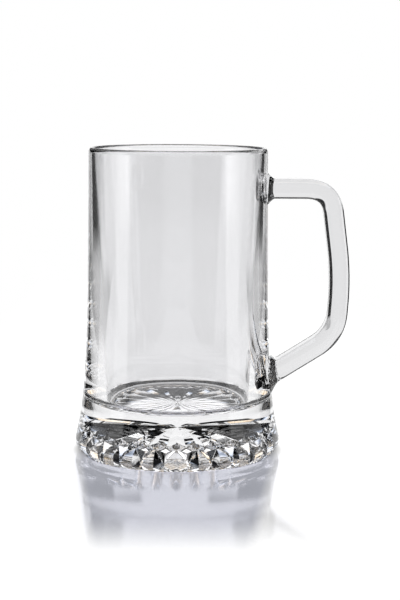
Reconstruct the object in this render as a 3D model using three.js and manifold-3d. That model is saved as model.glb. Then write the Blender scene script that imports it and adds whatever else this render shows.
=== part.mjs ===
// Pressed glass beer mug of about half a litre: a thick bowl with a heavy foot, patterned underneath,
// and a handle that is pressed apart and stuck on hot at two places.
// Millimetres, +Z up. The origin is on the table under the middle of the box round the mug,
// and the handle points to +X.

import * as THREE from 'three';
import { mergeVertices } from 'three/addons/utils/BufferGeometryUtils.js';
import Module from 'manifold-3d';

// Bowl, outside
const mugHeight = 148;
const rimRadius = 43.15;
const wallDraft = 0.93; // how much wider the wall is at the foot than at the lip, before the flare
const footFlare = 7.9; // how far the flare would stand out at table height
const flareLength = 25; // height over which the flare falls to about a third
const footRound = 4.4; // how far the foot's lower edge turns back in
const footRoundHeight = 8;
const footRoundPower = 2.4;

// Bowl, inside
const lipInnerRadius = 40.5;
const lipHeight = 2.4;
const cavityBottomRadius = 35.8;
const cavityFillet = 5;
const floorHeight = 23.3;

// Underside: a flat ring to stand on, a sloping ring of pressed diamonds inside it, and a star in the middle
const footRingInner = 44;
const footRingOuter = 47.6;
const starRadius = 32;
const starEdgeHeight = 7.8;
const starMiddleHeight = 11.8;
const starRelief = 1.8;
const starRays = 24;
const diamonds = 24;
const diamondDepth = 1.4;
const slopeSteps = 8; // steps up the sloping ring, and up one whole diamond
const diamondMiddleStep = 3; // middle of the whole row
const shallowSteps = 2; // steps over which the diamonds grow out of the foot

// Handle
const handleThickness = 9.6; // in the plane of the handle
const handleWidth = 15; // across that plane
const handleRounding = 3.3;
const topArmHeight = 128.7;
const topCornerReach = 73.6;
const gripBowReach = 79;
const gripBowHeight = 86.8;
const lowerCornerReach = 77;
const lowerCornerHeight = 57.7;
const lowerJointHeight = 35.6;
const handleStart = 42; // both arms start inside the wall and are cut off at its surface
const jointLip = 2.8; // how far the squeezed glass stands out round each arm
const jointLipLength = 3.2;
const jointLipCurve = 1.4;
const jointGap = 0.3;

const roundSteps = 96; // four to a diamond
const handleSteps = 96;
const cornerSteps = 3;
const lipSteps = 6;
const filletSteps = 4;

const wasm = await Module();
wasm.setup();

function toSolid(geometry) {
  const bare = geometry.clone();
  bare.deleteAttribute('normal');
  bare.deleteAttribute('uv');
  const merged = mergeVertices(bare, 1e-4);
  return new wasm.Manifold(new wasm.Mesh({
    numProp: 3,
    vertProperties: new Float32Array(merged.attributes.position.array),
    triVerts: new Uint32Array(merged.index.array),
  }));
}

function toGeometry(solid) {
  const mesh = solid.getMesh();
  const geometry = new THREE.BufferGeometry();
  geometry.setAttribute('position', new THREE.BufferAttribute(mesh.vertProperties, 3));
  geometry.setIndex(new THREE.BufferAttribute(mesh.triVerts, 1));
  geometry.computeVertexNormals();
  return geometry;
}

// The outside radius of the bowl at a height
function outerRadius(height) {
  const wall = rimRadius + wallDraft * (1 - height / mugHeight);
  const flare = footFlare * Math.exp(-height / flareLength);
  const low = Math.max(0, 1 - height / footRoundHeight);
  return wall + flare - footRound * low ** footRoundPower;
}

// The height of the plain dome under the star at a radius
function domeAt(radius) {
  const rise = starMiddleHeight - starEdgeHeight;
  const sphere = (starRadius ** 2 + rise ** 2) / (2 * rise);
  return starMiddleHeight - sphere + Math.sqrt(sphere ** 2 - radius ** 2);
}

// Flat-sided rays that run out from the middle of the star: 0 at a crease, full height on a ridge
function starHeight(angle, radius) {
  const ray = angle * starRays / (2 * Math.PI);
  const ridge = 1 - 2 * Math.abs(ray - Math.round(ray));
  return starRelief * ridge * radius / starRadius;
}

// A row of diamonds with the next row half a diamond round from it: highest on a tip, 0 along a groove
function diamondHeight(angle, step) {
  const round = angle * diamonds / (2 * Math.PI);
  const up = (step - diamondMiddleStep) / slopeSteps;
  const sideways = Math.abs(round - Math.round(round));
  const upwards = Math.abs(up - Math.round(up));
  const grown = step === slopeSteps ? 0 : THREE.MathUtils.clamp(step / shallowSteps, 0, 1);
  return diamondDepth * Math.abs(1 - 2 * (sideways + upwards)) * grown;
}

function bowlProfile() {
  const points = [new THREE.Vector2(0, starMiddleHeight)];
  for (const radius of [8, 16, 24, 30.5]) {
    points.push(new THREE.Vector2(radius, domeAt(radius)));
  }
  for (let step = slopeSteps; step >= 0; step--) {
    const part = step / slopeSteps;
    const radius = footRingInner + (starRadius - footRingInner) * part;
    points.push(new THREE.Vector2(radius, starEdgeHeight * part));
  }
  for (const height of [0, 1.5, 3.5, 6, 9, 12, 17, 23, 31, 44, 66, 100]) {
    points.push(new THREE.Vector2(outerRadius(height), height));
  }
  const lipBase = mugHeight - lipHeight;
  const lipOuter = outerRadius(lipBase);
  const lipHalf = (lipOuter - lipInnerRadius) / 2;
  for (let step = 0; step <= lipSteps; step++) {
    const turn = Math.PI * step / lipSteps;
    const radius = lipInnerRadius + lipHalf * (1 + Math.cos(turn));
    points.push(new THREE.Vector2(radius, lipBase + lipHeight * Math.sin(turn)));
  }
  for (let step = 0; step <= filletSteps; step++) {
    const turn = Math.PI / 2 * step / filletSteps;
    const radius = cavityBottomRadius - cavityFillet * (1 - Math.cos(turn));
    points.push(new THREE.Vector2(radius, floorHeight + cavityFillet * (1 - Math.sin(turn))));
  }
  points.push(new THREE.Vector2(0, floorHeight));
  return points;
}

// Each four-sided cell of the diamond ring is split along its groove, so that the diamonds have flat faces
function splitAlongGrooves(geometry) {
  const position = geometry.attributes.position;
  const cells = geometry.index;
  for (let start = 0; start < cells.count; start += 6) {
    const [a, b, d, c] = [0, 1, 2, 3].map((offset) => cells.getX(start + offset));
    const [heightA, heightB, heightC, heightD] = [a, b, c, d].map((corner) => position.getZ(corner));
    const radius = Math.hypot(position.getX(a), position.getY(a));
    const inRing = radius > starRadius - diamondDepth && radius < footRingInner + 0.01;
    if (inRing && heightA < starEdgeHeight + 0.01 && heightA + heightC > heightB + heightD + 0.01) {
      [a, b, c, a, c, d].forEach((corner, offset) => cells.setX(start + offset, corner));
    }
  }
}

function makeBowl() {
  const geometry = new THREE.LatheGeometry(bowlProfile(), roundSteps);
  geometry.rotateX(Math.PI / 2);
  const position = geometry.attributes.position;
  const point = new THREE.Vector3();
  const slope = Math.atan2(starEdgeHeight, footRingInner - starRadius);
  for (let index = 0; index < position.count; index++) {
    point.fromBufferAttribute(position, index);
    const radius = Math.hypot(point.x, point.y);
    const angle = Math.atan2(point.y, point.x);
    const underStar = radius < starRadius - 1 && point.z < starMiddleHeight + 0.01;
    const onSlope = radius > starRadius - 1 && radius < footRingInner - 1 && point.z < starEdgeHeight + 0.01;
    if (underStar) {
      position.setZ(index, point.z + starHeight(angle, radius));
    }
    if (onSlope) {
      const out = diamondHeight(angle, Math.round(slopeSteps * point.z / starEdgeHeight));
      const shrink = 1 - out * Math.sin(slope) / radius;
      position.setXYZ(index, point.x * shrink, point.y * shrink, point.z - out * Math.cos(slope));
    }
  }
  splitAlongGrooves(geometry);
  return geometry;
}

// A plain plug of the bowl's outer shape, a joint gap larger all round, that trims the handle
function makeTrimmer() {
  const points = [new THREE.Vector2(0, 10)];
  for (let height = 10; height <= mugHeight; height += 6) {
    points.push(new THREE.Vector2(outerRadius(height) + jointGap, height));
  }
  points.push(new THREE.Vector2(0, mugHeight));
  const geometry = new THREE.LatheGeometry(points, roundSteps);
  geometry.rotateX(Math.PI / 2);
  return geometry;
}

// Straight runs through the points, with the corners between them rounded off
function roundedRoute(points, setbacks) {
  const route = new THREE.CurvePath();
  let from = points[0];
  for (let index = 1; index < points.length - 1; index++) {
    const corner = points[index];
    const back = points[index - 1].clone().sub(corner).setLength(setbacks[index - 1]);
    const on = points[index + 1].clone().sub(corner).setLength(setbacks[index - 1]);
    const enter = corner.clone().add(back);
    const leave = corner.clone().add(on);
    route.add(new THREE.LineCurve3(from, enter));
    route.add(new THREE.QuadraticBezierCurve3(enter, corner, leave));
    from = leave;
  }
  route.add(new THREE.LineCurve3(from, points[points.length - 1]));
  return route;
}

function roundedSection(thickness, width, rounding) {
  const shape = new THREE.Shape();
  const side = thickness / 2 - rounding;
  const end = width / 2 - rounding;
  shape.absarc(side, end, rounding, 0, Math.PI / 2);
  shape.absarc(-side, end, rounding, Math.PI / 2, Math.PI);
  shape.absarc(-side, -end, rounding, Math.PI, 1.5 * Math.PI);
  shape.absarc(side, -end, rounding, 1.5 * Math.PI, 2 * Math.PI);
  return shape;
}

function makeHandle(trimmer) {
  const route = roundedRoute([
    new THREE.Vector3(handleStart, 0, topArmHeight),
    new THREE.Vector3(topCornerReach, 0, topArmHeight),
    new THREE.Vector3(gripBowReach, 0, gripBowHeight),
    new THREE.Vector3(lowerCornerReach, 0, lowerCornerHeight),
    new THREE.Vector3(handleStart, 0, lowerJointHeight),
  ], [12, 14, 11]);
  const geometry = new THREE.ExtrudeGeometry(
    roundedSection(handleThickness, handleWidth, handleRounding),
    { extrudePath: route, steps: handleSteps, curveSegments: cornerSteps, bevelEnabled: false },
  );
  // The arms swell into a lip where they were pressed against the hot wall
  const position = geometry.attributes.position;
  const point = new THREE.Vector3();
  const lowerSlope = (lowerCornerHeight - lowerJointHeight) / (lowerCornerReach - handleStart);
  for (let index = 0; index < position.count; index++) {
    point.fromBufferAttribute(position, index);
    const wall = outerRadius(point.z);
    const near = THREE.MathUtils.clamp(1 - (point.x - wall) / jointLipLength, 0, 1);
    const isTop = point.z > gripBowHeight;
    const armMiddle = isTop ? topArmHeight : lowerJointHeight + lowerSlope * (point.x - handleStart);
    const swell = jointLip * near ** jointLipCurve;
    position.setZ(index, armMiddle + (point.z - armMiddle) * (1 + swell / (handleThickness / 2)));
    position.setY(index, point.y * (1 + swell / (handleWidth / 2)));
  }
  return toGeometry(toSolid(geometry).subtract(toSolid(trimmer)));
}

function glass(colour) {
  return new THREE.MeshStandardMaterial({ color: colour, roughness: 0.03, metalness: 0 });
}

const bowl = new THREE.Mesh(toGeometry(toSolid(makeBowl())), glass(0xdfe6e2));
bowl.name = 'bowl';

const handle = new THREE.Mesh(makeHandle(makeTrimmer()), glass(0xe4eae6));
handle.name = 'handle';

const mug = new THREE.Group();
mug.add(bowl, handle);
const box = new THREE.Box3().setFromObject(mug);
mug.position.x = -(box.min.x + box.max.x) / 2;

export default mug;
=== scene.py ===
import math

import bmesh
import bpy
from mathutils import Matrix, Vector


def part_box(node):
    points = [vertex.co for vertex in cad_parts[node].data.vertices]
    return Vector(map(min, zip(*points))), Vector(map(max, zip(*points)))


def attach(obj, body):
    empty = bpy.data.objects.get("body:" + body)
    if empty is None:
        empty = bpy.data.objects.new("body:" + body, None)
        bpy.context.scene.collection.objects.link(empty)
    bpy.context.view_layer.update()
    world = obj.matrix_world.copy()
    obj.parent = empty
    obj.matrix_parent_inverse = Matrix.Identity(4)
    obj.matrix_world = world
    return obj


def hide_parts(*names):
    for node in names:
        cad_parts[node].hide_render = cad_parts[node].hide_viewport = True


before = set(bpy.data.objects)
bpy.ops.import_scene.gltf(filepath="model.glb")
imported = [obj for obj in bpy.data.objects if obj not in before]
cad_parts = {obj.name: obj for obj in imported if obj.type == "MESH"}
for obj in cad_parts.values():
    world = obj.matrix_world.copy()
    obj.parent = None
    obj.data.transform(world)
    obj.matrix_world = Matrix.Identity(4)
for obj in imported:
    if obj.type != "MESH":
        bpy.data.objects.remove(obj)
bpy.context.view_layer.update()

mm = 0.001
scene = bpy.context.scene


def hexColour(text):
    parts = [int(text[i:i + 2], 16) / 255 for i in (1, 3, 5)]
    linear = [p / 12.92 if p <= 0.04045 else ((p + 0.055) / 1.055) ** 2.4 for p in parts]
    return (*linear, 1.0)


def addNode(tree, kind, settings=None, links=None):
    # settings: sockets by name or number, other node settings by name,
    # and a ramp's stops as (place, grey or hex colour)
    node = tree.nodes.new(kind)
    for key, value in (settings or {}).items():
        if key == "stops":
            for i, (place, tone) in enumerate(value):
                stop = node.color_ramp.elements[i] if i < 2 else node.color_ramp.elements.new(1.0)
                stop.position = place
                stop.color = hexColour(tone) if isinstance(tone, str) else (tone, tone, tone, 1)
        elif isinstance(key, int) or key in node.inputs:
            node.inputs[key].default_value = value
        else:
            setattr(node, key, value)
    for key, source in (links or {}).items():
        tree.links.new(source, node.inputs[key])
    return node


def newMaterial(name):
    material = bpy.data.materials.new(name)
    material.use_nodes = True
    material.node_tree.nodes.clear()
    return material, material.node_tree


def clamp(value, low=0.0, high=1.0):
    return max(low, min(high, value))


bowlLow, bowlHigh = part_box("bowl")
axisX = (bowlLow.x + bowlHigh.x) / 2 / mm
mugHeight = bowlHigh.z / mm

# the bowl, one piece of pressed glass, in millimetres
bowl = {
    "rimRadius": 43.15,
    "wallDraft": 0.93,
    "footFlare": 7.9,
    "flareLength": 25,
    "footRound": 4.4,
    "footRoundHeight": 8,
    "footRoundPower": 2.4,
    "lipInnerRadius": 40.5,
    "lipHeight": 2.4,
    "cavityBottomRadius": 35.8,
    "cavityFillet": 5,
    "floorHeight": 23.3,
    "ringInner": 44,
    "ringOuter": 47.6,
    "ringEdge": 0.3,  # narrow edge between the flat ring and the foot's round
    "wallStart": 0.05,
    "wallCrowding": 1.6,  # rows lie closer together towards the foot
    "segments": 384,
    "rows": {"star": 40, "wall": 130, "lip": 24, "inside": 40, "fillet": 20},
    "floorParts": (0.8, 0.6, 0.4, 0.2),
}
# underneath: a sunburst in the middle, then a sloping ring of diamonds down to the foot
star = {"radius": 32, "edgeHeight": 7.8, "middleHeight": 11.8, "relief": 1.8, "rays": 24}
diamonds = {"count": 24, "rows": 32, "middleRow": 12, "depth": 1.4, "fadeRows": 4}


def outerRadius(height):
    wall = bowl["rimRadius"] + bowl["wallDraft"] * (1 - height / mugHeight)
    flare = bowl["footFlare"] * math.exp(-height / bowl["flareLength"])
    low = max(0, 1 - height / bowl["footRoundHeight"])
    return wall + flare - bowl["footRound"] * low ** bowl["footRoundPower"]


def domeAt(radius):
    rise = star["middleHeight"] - star["edgeHeight"]
    sphereRadius = (star["radius"] ** 2 + rise ** 2) / (2 * rise)
    return star["middleHeight"] - sphereRadius + math.sqrt(sphereRadius ** 2 - radius ** 2)


def starHeight(angle, radius):
    ray = angle * star["rays"] / (2 * math.pi)
    ridge = 1 - 2 * abs(ray - round(ray))
    return star["relief"] * ridge * radius / star["radius"]


def diamondRelief(angle, row):
    around = angle * diamonds["count"] / (2 * math.pi)
    up = (row - diamonds["middleRow"]) / diamonds["rows"]
    sideways = abs(around - round(around))
    upwards = abs(up - round(up))
    shape = abs(1 - 2 * (sideways + upwards))
    edge = clamp(min(row, diamonds["rows"] - row) / diamonds["fadeRows"])
    return diamonds["depth"] * shape * edge


def bowlRows():
    # rows of the turned shape as (radius, height, relief, row in it):
    # from under the middle out to the foot, up the wall, over the lip, down inside and in along the floor
    rows = []
    counts = bowl["rows"]
    for i in range(1, counts["star"]):
        radius = star["radius"] * i / counts["star"]
        rows.append((radius, domeAt(radius), "star", 0))
    for row in range(diamonds["rows"], -1, -1):
        part = row / diamonds["rows"]
        radius = bowl["ringInner"] + (star["radius"] - bowl["ringInner"]) * part
        rows.append((radius, star["edgeHeight"] * part, "diamonds", row))
    rows.append((bowl["ringOuter"] - bowl["ringEdge"], 0, "plain", 0))
    start = bowl["wallStart"]
    lipBase = mugHeight - bowl["lipHeight"]
    for i in range(counts["wall"] + 1):
        height = start + (lipBase - start) * (i / counts["wall"]) ** bowl["wallCrowding"]
        rows.append((outerRadius(height), height, "plain", 0))
    lipHalf = (outerRadius(lipBase) - bowl["lipInnerRadius"]) / 2
    for i in range(1, counts["lip"] + 1):
        turn = math.pi * i / counts["lip"]
        radius = bowl["lipInnerRadius"] + lipHalf * (1 + math.cos(turn))
        rows.append((radius, lipBase + bowl["lipHeight"] * math.sin(turn), "plain", 0))
    fillet = bowl["cavityFillet"]
    low = bowl["floorHeight"] + fillet
    taper = bowl["cavityBottomRadius"] - bowl["lipInnerRadius"]
    for i in range(1, counts["inside"]):
        height = lipBase + (low - lipBase) * i / counts["inside"]
        radius = bowl["lipInnerRadius"] + taper * i / counts["inside"]
        rows.append((radius, height, "plain", 0))
    for i in range(counts["fillet"] + 1):
        turn = math.pi / 2 * i / counts["fillet"]
        radius = bowl["cavityBottomRadius"] - fillet * (1 - math.cos(turn))
        rows.append((radius, bowl["floorHeight"] + fillet * (1 - math.sin(turn)), "plain", 0))
    for part in bowl["floorParts"]:
        rows.append(((bowl["cavityBottomRadius"] - fillet) * part, bowl["floorHeight"], "plain", 0))
    return rows


def makeBowl():
    segments = bowl["segments"]
    rows = bowlRows()
    slope = math.atan2(star["edgeHeight"], bowl["ringInner"] - star["radius"])
    points = [(axisX, 0, star["middleHeight"])]
    for radius, height, relief, row in rows:
        for k in range(segments):
            angle = 2 * math.pi * k / segments
            r, z = radius, height
            if relief == "diamonds":
                out = diamondRelief(angle, row)
                r -= out * math.sin(slope)
                z -= out * math.cos(slope)
            if relief == "star":
                z += starHeight(angle, radius)
            points.append((axisX + r * math.cos(angle), r * math.sin(angle), z))
    points.append((axisX, 0, bowl["floorHeight"]))
    faces = []
    for k in range(segments):
        faces.append((0, 1 + (k + 1) % segments, 1 + k))
    for j in range(len(rows) - 1):
        inBand = rows[j][2] == rows[j + 1][2] == "diamonds"
        for k in range(segments):
            n = (k + 1) % segments
            a, b = 1 + j * segments + k, 1 + j * segments + n
            d, c = a + segments, b + segments
            if inBand:
                # each cell is split along its groove, so that the diamonds keep flat faces
                heights = [points[i][2] for i in (a, b, c, d)]
                if heights[0] + heights[2] > heights[1] + heights[3]:
                    faces += [(a, b, c), (a, c, d)]
                else:
                    faces += [(a, b, d), (b, c, d)]
            else:
                faces.append((a, b, c, d))
    last = len(points) - 1
    base = 1 + (len(rows) - 1) * segments
    for k in range(segments):
        faces.append((base + k, base + (k + 1) % segments, last))
    mesh = bpy.data.meshes.new("bowlGlass")
    mesh.from_pydata([Vector(p) * mm for p in points], [], faces)
    return mesh


# the handle, pressed apart and stuck on hot, in millimetres from the bowl's axis and the table
handle = {
    "thickness": 9.6,
    "width": 15,
    "rounding": 3.3,
    "start": 41,
    "topArm": 128.7,
    "corners": [(73.6, 128.7), (79, 86.8), (77, 57.7)],
    "setbacks": [12, 14, 11],
    "lowerJoint": 35.0,
    "topLip": (2.8, 3.2),  # how far the squeezed glass stands out, and over what length
    "lowerLip": (3.4, 3.6),
    "lipCurve": 1.4,
    "step": 0.8,
    "cornerSteps": 8,
}


def routePoints():
    # straight runs with rounded corners in the handle's plane, as (distance from the bowl's axis, height)
    ends = [
        (handle["start"], handle["topArm"]),
        *handle["corners"],
        (handle["start"], handle["lowerJoint"]),
    ]
    route = [Vector(ends[0])]

    def straight(to):
        start = route[-1].copy()
        count = max(1, round((to - start).length / handle["step"]))
        for i in range(1, count + 1):
            route.append(start.lerp(to, i / count))

    for before, corner, after, setback in zip(ends, ends[1:], ends[2:], handle["setbacks"]):
        corner = Vector(corner)
        enter = corner + (Vector(before) - corner).normalized() * setback
        leave = corner + (Vector(after) - corner).normalized() * setback
        straight(enter)
        count = max(handle["cornerSteps"], round(2 * setback / handle["step"]))
        for i in range(1, count + 1):
            t = i / count
            route.append(enter * (1 - t) ** 2 + corner * 2 * t * (1 - t) + leave * t ** 2)
    straight(Vector(ends[-1]))
    return route


def roundedSection():
    # points round the section as (in the handle's plane, across it)
    side = handle["thickness"] / 2 - handle["rounding"]
    end = handle["width"] / 2 - handle["rounding"]
    rounding, steps = handle["rounding"], handle["cornerSteps"]
    section = []
    for quarter, (u, v) in enumerate([(side, end), (-side, end), (-side, -end), (side, -end)]):
        for i in range(steps + 1):
            turn = math.pi / 2 * (quarter + i / steps)
            section.append((u + rounding * math.cos(turn), v + rounding * math.sin(turn)))
    return section


def makeHandle():
    route, section = routePoints(), roundedSection()
    points = []
    for i, spot in enumerate(route):
        ahead = (route[min(i + 1, len(route) - 1)] - route[max(i - 1, 0)]).normalized()
        out = Vector((-ahead.y, ahead.x))
        # towards the bowl the glass swells, where each end was pressed on
        lip, lipLength = handle["topLip"] if spot.y > handle["corners"][1][1] else handle["lowerLip"]
        for u, v in section:
            reach, height, across = spot.x + out.x * u, spot.y + out.y * u, v
            wall = math.sqrt(outerRadius(height) ** 2 - across ** 2)
            near = clamp(1 - (reach - wall) / lipLength)
            swell = lip * near ** handle["lipCurve"]
            height += math.copysign(swell * abs(u) / (handle["thickness"] / 2), height - spot.y)
            across += math.copysign(swell * abs(v) / (handle["width"] / 2), v)
            points.append((axisX + reach, across, height))
    count = len(section)
    faces = [tuple(range(count))]
    for i in range(len(route) - 1):
        for k in range(count):
            n = (k + 1) % count
            faces.append((i * count + k, (i + 1) * count + k, (i + 1) * count + n, i * count + n))
    faces.append(tuple(reversed(range((len(route) - 1) * count, len(route) * count))))
    mesh = bpy.data.meshes.new("handleGlass")
    mesh.from_pydata([Vector(p) * mm for p in points], [], faces)
    return mesh


ripple = {"across": 14, "depth": 0.02}  # millimetres


def clearGlass(name, tint):
    # soda-lime glass pressed in iron and fire-polished: clear and sharp, with a faint lazy ripple
    material, tree = newMaterial(name)
    place = addNode(tree, "ShaderNodeTexCoord")
    noise = addNode(tree, "ShaderNodeTexNoise", {"Scale": 1 / (ripple["across"] * mm), "Detail": 1.0},
                    {"Vector": place.outputs["Object"]})
    bump = addNode(tree, "ShaderNodeBump", {"Distance": ripple["depth"] * mm, "Strength": 1.0},
                   {"Height": noise.outputs["Fac"]})
    shader = addNode(tree, "ShaderNodeBsdfPrincipled",
                     {"Base Color": hexColour(tint), "Roughness": 0.0, "IOR": 1.52,
                      "Transmission Weight": 1.0},
                     {"Normal": bump.outputs["Normal"]})
    addNode(tree, "ShaderNodeOutputMaterial", {}, {"Surface": shader.outputs[0]})
    return material


def fusedJoint():
    # where hot handle and bowl ran together there is no surface left, so light goes straight through
    material, tree = newMaterial("fusedGlassJoint")
    shader = addNode(tree, "ShaderNodeBsdfTransparent")
    addNode(tree, "ShaderNodeOutputMaterial", {}, {"Surface": shader.outputs[0]})
    return material


bowlGlass = clearGlass("pressedGlassBowl", "#f0f0f1")
handleGlass = clearGlass("pressedGlassHandle", "#e2e2e3")
jointGlass = fusedJoint()
glassSlots = [bowlGlass, handleGlass, jointGlass]
bowlSlot, handleSlot, jointSlot = 0, 1, 2


def meshObject(name, mesh, slotIndex):
    piece = bpy.data.objects.new(name, mesh)
    scene.collection.objects.link(piece)
    for material in glassSlots:
        mesh.materials.append(material)
    mesh.polygons.foreach_set("material_index", [slotIndex] * len(mesh.polygons))
    return piece


def cutAway(piece, tool, name):
    cut = piece.modifiers.new("cut", "BOOLEAN")
    cut.operation = "DIFFERENCE"
    cut.solver = "EXACT"
    cut.object = tool
    bpy.context.view_layer.update()
    graph = bpy.context.evaluated_depsgraph_get()
    result = bpy.data.meshes.new_from_object(piece.evaluated_get(graph))
    piece.modifiers.remove(cut)
    result.name = name
    return result


def keepFaces(mesh, slotIndex, flip=False, newSlot=None):
    work = bmesh.new()
    work.from_mesh(mesh)
    away = [f for f in work.faces if f.material_index != slotIndex]
    bmesh.ops.delete(work, geom=away, context="FACES")
    for face in work.faces:
        if flip:
            face.normal_flip()
        if newSlot is not None:
            face.material_index = newSlot
    return work


weldGap = 0.0005  # millimetres
sharpAngle = 14  # degrees; pressed edges steeper than this stay crisp


def joinWork(first, second, name):
    spare = bpy.data.meshes.new("spare")
    second.to_mesh(spare)
    second.free()
    first.from_mesh(spare)
    bmesh.ops.remove_doubles(first, verts=first.verts, dist=weldGap * mm)
    mesh = bpy.data.meshes.new(name)
    first.to_mesh(mesh)
    first.free()
    bpy.data.meshes.remove(spare)
    for material in glassSlots:
        mesh.materials.append(material)
    return mesh


def openEdges(mesh):
    work = bmesh.new()
    work.from_mesh(mesh)
    found = sum(1 for e in work.edges if len(e.link_faces) != 2)
    work.free()
    return found


roughBowl = meshObject("roughBowl", makeBowl(), bowlSlot)
roughHandle = meshObject("roughHandle", makeHandle(), handleSlot)
print("bowl and handle built", len(roughBowl.data.polygons), len(roughHandle.data.polygons))

bowlCut = cutAway(roughBowl, roughHandle, "bowlCut")
handleCut = cutAway(roughHandle, roughBowl, "handleCut")

# each piece keeps its own outside and takes the shared joint surface, turned the other way for the bowl
bowlSide = keepFaces(handleCut, bowlSlot, flip=True, newSlot=jointSlot)
handleSide = keepFaces(handleCut, bowlSlot, newSlot=jointSlot)
bowlMesh = joinWork(keepFaces(bowlCut, bowlSlot), bowlSide, "bowlGlass")
handleMesh = joinWork(keepFaces(handleCut, handleSlot), handleSide, "handleGlass")
for rough in (roughBowl, roughHandle):
    bpy.data.objects.remove(rough)
print("fused, open edges left:", openEdges(bowlMesh), openEdges(handleMesh))


def finishPiece(name, mesh, node):
    piece = bpy.data.objects.new(name, mesh)
    scene.collection.objects.link(piece)
    mesh.shade_smooth()
    mesh.set_sharp_from_angle(angle=math.radians(sharpAngle))
    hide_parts(node)
    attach(piece, "root")


finishPiece("glass_bowl", bowlMesh, "bowl")
finishPiece("glass_handle", handleMesh, "handle")

# opal sheet lit from inside, polished in front of the mug, in millimetres from the mug's axis
table = {
    "halfWidth": 135,
    "front": -420,
    "back": 640,
    "drop": 0.1,
    "brightest": 2.0,
    "shade": [(0, 1.6), (27, 1.6), (32, 0.12), (46, 0.12), (52, 1.1)],  # (distance from the axis, light): a painted pool of light under the mug's middle and a painted shadow ring under the foot
    "mirror": 0.38,
    "mirrorFront": (-180, -115),
    "mirrorBack": (-25, -5),
    "mirrorSide": (62, 92),
    "shadowEdge": (47, 53),  # a painted shadow of the mug in front of it, which narrows as it runs out
    "shadowNarrowing": 0.116,
}


def tableMaterial():
    # cast opal acrylic with a polished strip: even white, with a painted pool of light under the mug's
    # middle, a painted shadow dimming it under the foot and a painted shadow in front, and the mug shows in
    # front
    material, tree = newMaterial("polishedOpalAcrylic")
    place = addNode(tree, "ShaderNodeTexCoord")
    axes = addNode(tree, "ShaderNodeSeparateXYZ", {}, {0: place.outputs["Object"]})
    aside = addNode(tree, "ShaderNodeMath", {"operation": "ABSOLUTE"}, {0: axes.outputs[0]})
    away = addNode(tree, "ShaderNodeVectorMath", {"operation": "LENGTH"}, {0: place.outputs["Object"]})

    # light that comes up through the sheet, with a painted pool of light under the mug's middle and a painted
    # shadow ring under the foot
    reach, brightest = table["shade"][-1][0], table["brightest"]
    stops = [(distance / reach, level / brightest) for distance, level in table["shade"]]
    part = addNode(tree, "ShaderNodeMath", {"operation": "DIVIDE", 1: reach * mm},
                   {0: away.outputs["Value"]})
    ramp = addNode(tree, "ShaderNodeValToRGB", {"stops": stops}, {0: part.outputs[0]})
    shade = addNode(tree, "ShaderNodeMath", {"operation": "MULTIPLY", 1: brightest}, {0: ramp.outputs[0]})
    lit = addNode(tree, "ShaderNodeEmission", {"Color": hexColour("#ffffff")}, {"Strength": shade.outputs[0]})

    # the polished strip, as a share that fades towards the front, the back and the sides
    front = addNode(tree, "ShaderNodeMapRange",
                    {"From Min": table["mirrorFront"][0] * mm, "From Max": table["mirrorFront"][1] * mm,
                     "To Min": 0.0, "To Max": table["mirror"], "interpolation_type": "SMOOTHSTEP"},
                    {"Value": axes.outputs[1]})
    back = addNode(tree, "ShaderNodeMapRange",
                   {"From Min": table["mirrorBack"][0] * mm, "From Max": table["mirrorBack"][1] * mm,
                    "To Min": 1.0, "To Max": 0.0},
                   {"Value": axes.outputs[1]})
    side = addNode(tree, "ShaderNodeMapRange",
                   {"From Min": table["mirrorSide"][0] * mm, "From Max": table["mirrorSide"][1] * mm,
                    "To Min": 1.0, "To Max": 0.0, "interpolation_type": "SMOOTHSTEP"},
                   {"Value": aside.outputs[0]})
    along = addNode(tree, "ShaderNodeMath", {"operation": "MULTIPLY"},
                    {0: front.outputs[0], 1: back.outputs[0]})
    share = addNode(tree, "ShaderNodeMath", {"operation": "MULTIPLY"},
                    {0: along.outputs[0], 1: side.outputs[0]})

    # the mug's own shadow on the strip, painted as a lavender-grey glow
    widened = addNode(tree, "ShaderNodeMath", {"operation": "MULTIPLY_ADD", 1: -table["shadowNarrowing"]},
                      {0: axes.outputs[1], 2: aside.outputs[0]})
    inShadow = addNode(tree, "ShaderNodeMapRange",
                       {"From Min": table["shadowEdge"][0] * mm, "From Max": table["shadowEdge"][1] * mm,
                        "To Min": 1.0, "To Max": 0.0},
                       {"Value": widened.outputs[0]})
    fading = addNode(tree, "ShaderNodeMath", {"operation": "MULTIPLY", 1: 1 / table["mirror"]},
                     {0: share.outputs[0]})
    dimmed = addNode(tree, "ShaderNodeMath", {"operation": "MULTIPLY"},
                     {0: inShadow.outputs[0], 1: fading.outputs[0]})
    # painted shadow: a dim lavender-grey glow takes the place of the white where the mug's shadow falls
    shadow = addNode(tree, "ShaderNodeEmission", {"Color": hexColour("#cfd1da"), "Strength": 1.0})
    glow = addNode(tree, "ShaderNodeMixShader", {},
                   {0: dimmed.outputs[0], 1: lit.outputs[0], 2: shadow.outputs[0]})
    gloss = addNode(tree, "ShaderNodeBsdfGlossy", {"Color": hexColour("#f4f4fb"), "Roughness": 0.09})
    strip = addNode(tree, "ShaderNodeMixShader", {},
                    {0: share.outputs[0], 1: glow.outputs[0], 2: gloss.outputs[0]})
    addNode(tree, "ShaderNodeOutputMaterial", {}, {"Surface": strip.outputs[0]})
    return material


def makeTable():
    side, front, back = table["halfWidth"], table["front"], table["back"]
    corners = [(-side, front), (side, front), (side, back), (-side, back)]
    mesh = bpy.data.meshes.new("table")
    mesh.from_pydata([(x * mm, y * mm, 0) for x, y in corners], [], [(0, 1, 2, 3)])
    mesh.materials.append(tableMaterial())
    top = bpy.data.objects.new("table", mesh)
    top.location = (axisX * mm, 0, -table["drop"] * mm)
    scene.collection.objects.link(top)


makeTable()
print("table laid")

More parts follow.
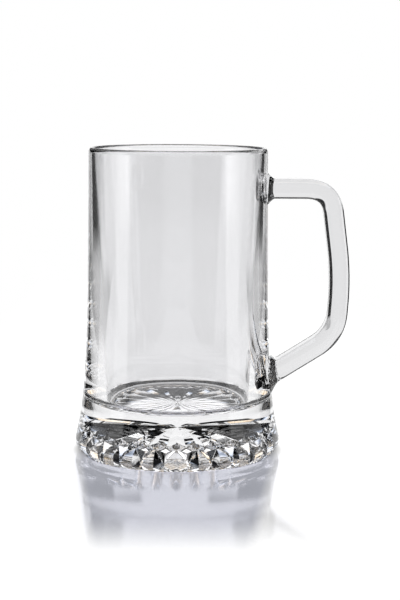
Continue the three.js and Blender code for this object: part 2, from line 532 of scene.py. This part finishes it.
# (degrees, then brightness, share or colour): low and standing panels go by degrees round
# from straight behind the mug, the rest by degrees up from the horizon
studio = {
    "low": [(0, 1.1), (26, 1.1), (28, 0.01), (64, 0.01), (66, 1.0), (94, 1.0), (98, 1.9), (114, 1.9),
            (118, 0.01), (158, 0.01), (164, 0.3), (180, 0.3)],
    "standing": [(0, 1.1), (12, 1.1), (14, 0.01), (76, 0.01), (78, 1.0), (94, 1.0),
                 (98, 1.6), (108, 1.6), (112, 0.01), (166, 0.01), (170, 0.3), (180, 0.3)],
    "standingFrom": [(-90, 0), (2, 0), (5, 1), (90, 1)],
    "panelShare": [(-90, 0), (-13, 0), (-11.5, 1), (22, 1), (26, 0), (90, 0)],
    "overhead": [(-90, 1.1), (-20, 1.1), (-17, 0.7), (-13, 0.7), (-11.5, 0),
                 (44, 0), (48, 1.5), (62, 1.5), (68, 0.05), (90, 0.05)],
    "overheadTones": [(-90, "#ffffff"), (20, "#ffffff"), (44, "#cfe2ff"), (50, "#f4f8ff"),
                      (56, "#fffaf2"), (64, "#ffe6c4")],
    "brightest": 4.0,
    "paper": 1.0,
}


def makeStudio():
    world = bpy.data.worlds.new("studio")
    scene.world = world
    world.use_nodes = True
    tree = world.node_tree
    tree.nodes.clear()
    brightest = studio["brightest"]
    place = addNode(tree, "ShaderNodeTexCoord")
    axes = addNode(tree, "ShaderNodeSeparateXYZ", {}, {0: place.outputs["Generated"]})
    turn = addNode(tree, "ShaderNodeMath", {"operation": "ARCTAN2"}, {0: axes.outputs[0], 1: axes.outputs[1]})
    aside = addNode(tree, "ShaderNodeMath", {"operation": "ABSOLUTE"}, {0: turn.outputs[0]})
    around = addNode(tree, "ShaderNodeMath", {"operation": "DIVIDE", 1: math.pi}, {0: aside.outputs[0]})
    rise = addNode(tree, "ShaderNodeMath", {"operation": "ARCSINE"}, {0: axes.outputs[2]})
    up = addNode(tree, "ShaderNodeMath", {"operation": "MULTIPLY_ADD", 1: 1 / math.pi, 2: 0.5},
                 {0: rise.outputs[0]})

    # one ramp for each list: where it starts, what its values are divided by, and what it goes by
    ramps = {}
    for key, start, divisor, source in (
            ("low", 0, brightest, around),
            ("standing", 0, brightest, around),
            ("standingFrom", 0.5, 1, up),
            ("panelShare", 0.5, 1, up),
            ("overhead", 0.5, brightest, up),
            ("overheadTones", 0.5, 1, up)):
        stops = []
        for degrees, level in studio[key]:
            stops.append((start + degrees / 180, level if isinstance(level, str) else level / divisor))
        ramp = addNode(tree, "ShaderNodeValToRGB", {"stops": stops}, {0: source.outputs[0]})
        ramps[key] = ramp.outputs[0]

    panels = addNode(tree, "ShaderNodeMix", {},
                     {0: ramps["standingFrom"], 2: ramps["low"], 3: ramps["standing"]})
    shown = addNode(tree, "ShaderNodeMath", {"operation": "MULTIPLY"},
                    {0: panels.outputs[0], 1: ramps["panelShare"]})
    sidesLight = addNode(tree, "ShaderNodeMath", {"operation": "MULTIPLY", 1: brightest},
                         {0: shown.outputs[0]})
    aboveLight = addNode(tree, "ShaderNodeMath", {"operation": "MULTIPLY", 1: brightest},
                         {0: ramps["overhead"]})
    sides = addNode(tree, "ShaderNodeBackground", {"Color": hexColour("#ffffff")},
                    {"Strength": sidesLight.outputs[0]})
    above = addNode(tree, "ShaderNodeBackground", {},
                    {"Color": ramps["overheadTones"], "Strength": aboveLight.outputs[0]})
    room = addNode(tree, "ShaderNodeAddShader", {}, {0: sides.outputs[0], 1: above.outputs[0]})

    # the camera itself sees plain white paper, and only the glass and the table see the lights
    paper = addNode(tree, "ShaderNodeBackground",
                    {"Color": hexColour("#ffffff"), "Strength": studio["paper"]})
    path = addNode(tree, "ShaderNodeLightPath")
    mix = addNode(tree, "ShaderNodeMixShader", {},
                  {0: path.outputs["Is Camera Ray"], 1: room.outputs[0], 2: paper.outputs[0]})
    addNode(tree, "ShaderNodeOutputWorld", {}, {"Surface": mix.outputs[0]})


makeStudio()

# metres from the mug's axis and the table, degrees, and millimetres for the lens
camera = {
    "distance": 0.730,
    "height": 0.1768,
    "aside": 0.0108,
    "tilt": 8.02,
    "roll": 0.35,
    "lens": 90.66,
    "sensor": 36,
    "nearest": 0.01,
}


def makeCamera():
    lens = bpy.data.cameras.new("camera")
    lens.sensor_width = camera["sensor"]
    lens.lens = camera["lens"]
    lens.clip_start = camera["nearest"]
    spot = bpy.data.objects.new("camera", lens)
    spot.location = (axisX * mm + camera["aside"], -camera["distance"], camera["height"])
    spot.rotation_mode = "ZXY"
    spot.rotation_euler = (math.radians(90 - camera["tilt"]), 0, math.radians(camera["roll"]))
    scene.collection.objects.link(spot)
    scene.camera = spot


makeCamera()

# light crosses many glass surfaces before it gets out
scene.cycles.max_bounces = 28
scene.cycles.transmission_bounces = 28
scene.cycles.glossy_bounces = 16
scene.cycles.diffuse_bounces = 4
scene.cycles.transparent_max_bounces = 16
scene.cycles.use_denoising = True
scene.view_settings.view_transform = "Standard"
scene.view_settings.gamma = 0.87  # under 1 deepens the middle tones
print("studio and camera ready")
